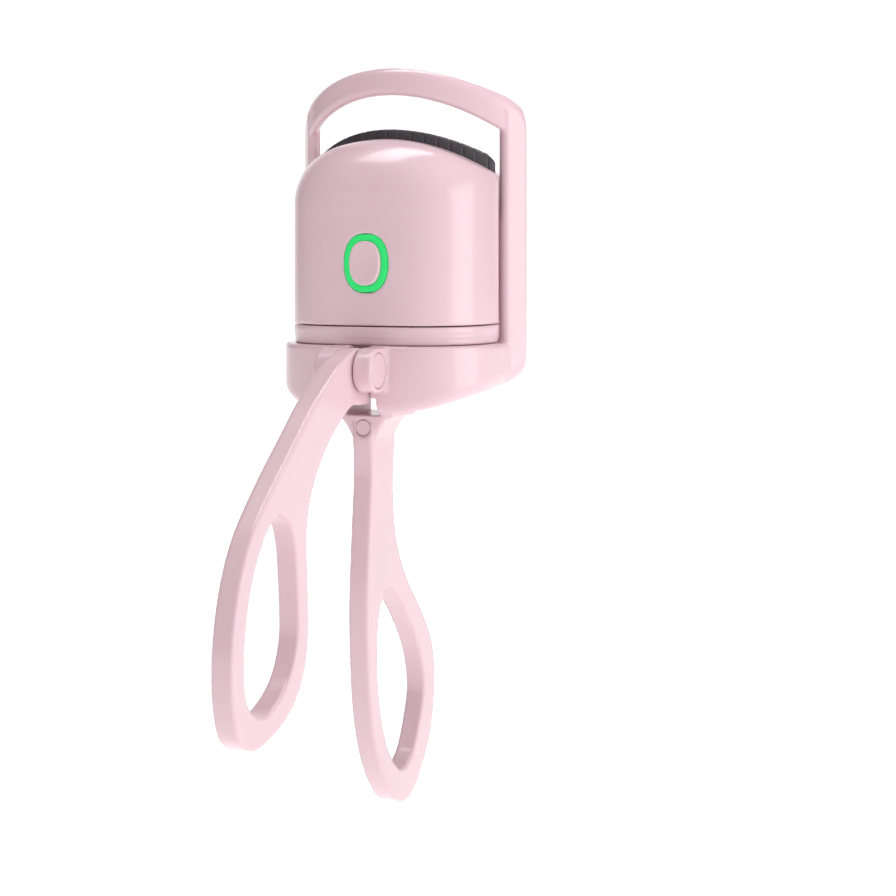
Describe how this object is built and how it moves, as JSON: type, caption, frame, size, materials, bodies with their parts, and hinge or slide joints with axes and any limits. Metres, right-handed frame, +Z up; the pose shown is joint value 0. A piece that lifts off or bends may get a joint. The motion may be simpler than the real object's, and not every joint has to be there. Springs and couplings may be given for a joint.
{
  "type": "heated eyelash curler",
  "caption": "Heated eyelash curler: arched frame with a finger loop, heating head with a comb sliding on two rails, and a sprung front handle that lifts the head to the bar.",
  "frame": {"origin": "middle of the fixed handle's finger loop, in the middle plane", "axes": "+Z up towards the pressing bar, -Y towards the front handle and the button, +X to the user's right when seen from the front"},
  "size_m": [0.0382, 0.0695, 0.114],
  "materials": {
    "pink_gloss": "glossy pale pink",
    "comb_dark": "satin dark plum",
    "light_green": "lit translucent",
    "steel": "plain",
    "aluminium": "satin",
    "ceramic": "unglazed ceramic",
    "carrier_black": "satin black",
    "circuit_board": "solder mask",
    "black_parts": "satin",
    "led_white": "clear epoxy",
    "battery_foil": "foil pouch",
    "foam": "foam",
    "lead_red": "insulation",
    "lead_black": "insulation",
    "lead_white": "insulation"
  },
  "bodies": {
    "frame": {"frame": "pink_gloss", "pivot_pin": "pink_gloss", "pivot_cap": "pink_gloss", "neck_plug": "pink_gloss", "return_spring": "steel"},
    "front_handle": {"moving_handle": "pink_gloss", "lift_pin": "steel"},
    "heating_head": {"front_shell": "pink_gloss", "rear_shell": "pink_gloss", "bottom_cap": "pink_gloss", "case_screw_left_lower": "steel", "case_screw_left_upper": "steel", "case_screw_right_lower": "steel", "case_screw_right_upper": "steel", "comb": "comb_dark", "heat_spreader": "aluminium", "heater_strip": "ceramic", "comb_carrier": "carrier_black", "thermistor": "black_parts", "light_ring": "light_green", "main_board": "circuit_board", "power_switch": "steel", "ring_led_left": "led_white", "ring_led_right": "led_white", "control_chip": "black_parts", "battery": "battery_foil", "battery_pad": "foam", "charge_board": "circuit_board", "charge_chip": "black_parts", "usb_c_shell": "steel", "usb_c_tongue": "black_parts", "battery_lead_plus": "lead_red", "battery_lead_minus": "lead_black", "heater_lead_left": "lead_white", "heater_lead_right": "lead_white"},
    "button": {"power_button": "pink_gloss"}
  },
  "joints": [
    {"name": "handle_pivot", "type": "hinge", "parent": "frame", "child": "front_handle", "pos_m": [0, -0.0154, 0.0496], "axis": [1, 0, 0], "range_deg": [0, 22.5], "stiffness_Nm_per_rad": 0.06, "springref_deg": -34.38, "deforming": ["return_spring"]},
    {"name": "head_slide", "type": "slide", "parent": "frame", "child": "heating_head", "axis": [0, 0, 1], "range_m": [0, 0.00506]},
    {"name": "button_press", "type": "slide", "parent": "heating_head", "child": "button", "axis": [0, 1, 0], "range_m": [0, 0.0003], "stiffness_N_per_m": 600, "springref_m": -0.0005}
  ],
  "couplings": [
    {"joint": "head_slide", "follows": "handle_pivot", "m_per_rad": 0.012817}
  ]
}
